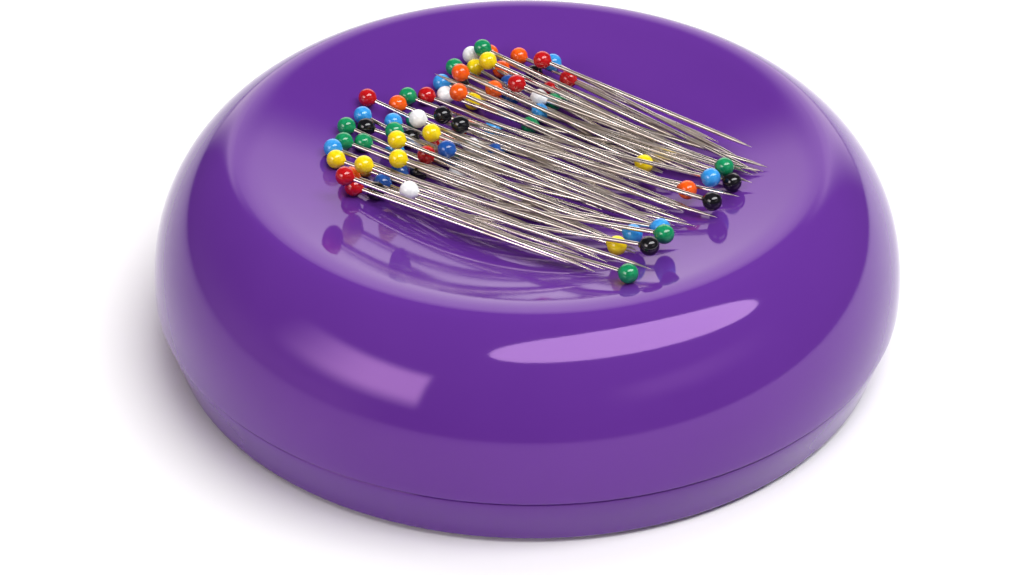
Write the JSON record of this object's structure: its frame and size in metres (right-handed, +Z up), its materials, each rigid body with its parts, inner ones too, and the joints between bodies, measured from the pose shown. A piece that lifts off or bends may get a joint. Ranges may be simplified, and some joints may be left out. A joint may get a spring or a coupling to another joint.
{
  "type": "magnetic pin bowl",
  "caption": "Round magnetic pin bowl: a low two-part plastic housing with a shallow concave dish, holding a heap of ball-head steel pins.",
  "frame": {"origin": "on the bowl's axis, in the plane it rests on", "axes": "+Z up out of the dish, -Y to the front, +X to the right"},
  "size_m": [0.108, 0.108, 0.0319],
  "materials": {
    "purple_housing": "glossy moulded ABS",
    "pin_steel": "bright nickel-plated wire",
    "ferrite": "fired ceramic magnet",
    "zinc_plated_steel": "satin zinc plate",
    "spacer_foam": "closed-cell foam",
    "eva_foam": "die-cut EVA sheet",
    "head_yellow": "glossy ball",
    "head_orange": "glossy ball",
    "head_red": "glossy ball",
    "head_green": "glossy ball",
    "head_sky_blue": "glossy ball",
    "head_blue": "glossy ball",
    "head_black": "glossy ball",
    "head_white": "glossy ball"
  },
  "bodies": {
    "bowl": {"top_shell": "purple_housing", "base_cover": "purple_housing", "non_slip_ring": "eva_foam", "screw_1": "zinc_plated_steel", "screw_2": "zinc_plated_steel", "screw_3": "zinc_plated_steel", "ring_magnet": "ferrite", "steel_backing_disc": "zinc_plated_steel", "foam_spacer": "spacer_foam", "lower_pins": "pin_steel"},
    "pin_01": {"pin_01_shank": "pin_steel", "pin_01_head": "head_red"},
    "pin_02": {"pin_02_shank": "pin_steel", "pin_02_head": "head_white"},
    "pin_03": {"pin_03_shank": "pin_steel", "pin_03_head": "head_yellow"},
    "pin_04": {"pin_04_shank": "pin_steel", "pin_04_head": "head_yellow"},
    "pin_05": {"pin_05_shank": "pin_steel", "pin_05_head": "head_yellow"},
    "pin_06": {"pin_06_shank": "pin_steel", "pin_06_head": "head_sky_blue"},
    "pin_07": {"pin_07_shank": "pin_steel", "pin_07_head": "head_yellow"},
    "pin_08": {"pin_08_shank": "pin_steel", "pin_08_head": "head_blue"},
    "pin_09": {"pin_09_shank": "pin_steel", "pin_09_head": "head_yellow"},
    "pin_10": {"pin_10_shank": "pin_steel", "pin_10_head": "head_white"},
    "pin_11": {"pin_11_shank": "pin_steel", "pin_11_head": "head_black"},
    "pin_12": {"pin_12_shank": "pin_steel", "pin_12_head": "head_black"},
    "pin_13": {"pin_13_shank": "pin_steel", "pin_13_head": "head_orange"},
    "pin_14": {"pin_14_shank": "pin_steel", "pin_14_head": "head_orange"},
    "pin_15": {"pin_15_shank": "pin_steel", "pin_15_head": "head_yellow"},
    "pin_16": {"pin_16_shank": "pin_steel", "pin_16_head": "head_orange"},
    "pin_17": {"pin_17_shank": "pin_steel", "pin_17_head": "head_red"},
    "pin_18": {"pin_18_shank": "pin_steel", "pin_18_head": "head_yellow"},
    "pin_19": {"pin_19_shank": "pin_steel", "pin_19_head": "head_green"},
    "pin_20": {"pin_20_shank": "pin_steel", "pin_20_head": "head_red"}
  },
  "joints": [
    {"name": "pin_01_lift", "type": "slide", "parent": "bowl", "child": "pin_01", "axis": [0, 0, 1], "range_m": [0, 0.06]},
    {"name": "pin_02_lift", "type": "slide", "parent": "bowl", "child": "pin_02", "axis": [0, 0, 1], "range_m": [0, 0.06]},
    {"name": "pin_03_lift", "type": "slide", "parent": "bowl", "child": "pin_03", "axis": [0, 0, 1], "range_m": [0, 0.06]},
    {"name": "pin_04_lift", "type": "slide", "parent": "bowl", "child": "pin_04", "axis": [0, 0, 1], "range_m": [0, 0.06]},
    {"name": "pin_05_lift", "type": "slide", "parent": "bowl", "child": "pin_05", "axis": [0, 0, 1], "range_m": [0, 0.06]},
    {"name": "pin_06_lift", "type": "slide", "parent": "bowl", "child": "pin_06", "axis": [0, 0, 1], "range_m": [0, 0.06]},
    {"name": "pin_07_lift", "type": "slide", "parent": "bowl", "child": "pin_07", "axis": [0, 0, 1], "range_m": [0, 0.06]},
    {"name": "pin_08_lift", "type": "slide", "parent": "bowl", "child": "pin_08", "axis": [0, 0, 1], "range_m": [0, 0.06]},
    {"name": "pin_09_lift", "type": "slide", "parent": "bowl", "child": "pin_09", "axis": [0, 0, 1], "range_m": [0, 0.06]},
    {"name": "pin_10_lift", "type": "slide", "parent": "bowl", "child": "pin_10", "axis": [0, 0, 1], "range_m": [0, 0.06]},
    {"name": "pin_11_lift", "type": "slide", "parent": "bowl", "child": "pin_11", "axis": [0, 0, 1], "range_m": [0, 0.06]},
    {"name": "pin_12_lift", "type": "slide", "parent": "bowl", "child": "pin_12", "axis": [0, 0, 1], "range_m": [0, 0.06]},
    {"name": "pin_13_lift", "type": "slide", "parent": "bowl", "child": "pin_13", "axis": [0, 0, 1], "range_m": [0, 0.06]},
    {"name": "pin_14_lift", "type": "slide", "parent": "bowl", "child": "pin_14", "axis": [0, 0, 1], "range_m": [0, 0.06]},
    {"name": "pin_15_lift", "type": "slide", "parent": "bowl", "child": "pin_15", "axis": [0, 0, 1], "range_m": [0, 0.06]},
    {"name": "pin_16_lift", "type": "slide", "parent": "bowl", "child": "pin_16", "axis": [0, 0, 1], "range_m": [0, 0.06]},
    {"name": "pin_17_lift", "type": "slide", "parent": "bowl", "child": "pin_17", "axis": [0, 0, 1], "range_m": [0, 0.06]},
    {"name": "pin_18_lift", "type": "slide", "parent": "bowl", "child": "pin_18", "axis": [0, 0, 1], "range_m": [0, 0.06]},
    {"name": "pin_19_lift", "type": "slide", "parent": "bowl", "child": "pin_19", "axis": [0, 0, 1], "range_m": [0, 0.06]},
    {"name": "pin_20_lift", "type": "slide", "parent": "bowl", "child": "pin_20", "axis": [0, 0, 1], "range_m": [0, 0.06]}
  ]
}
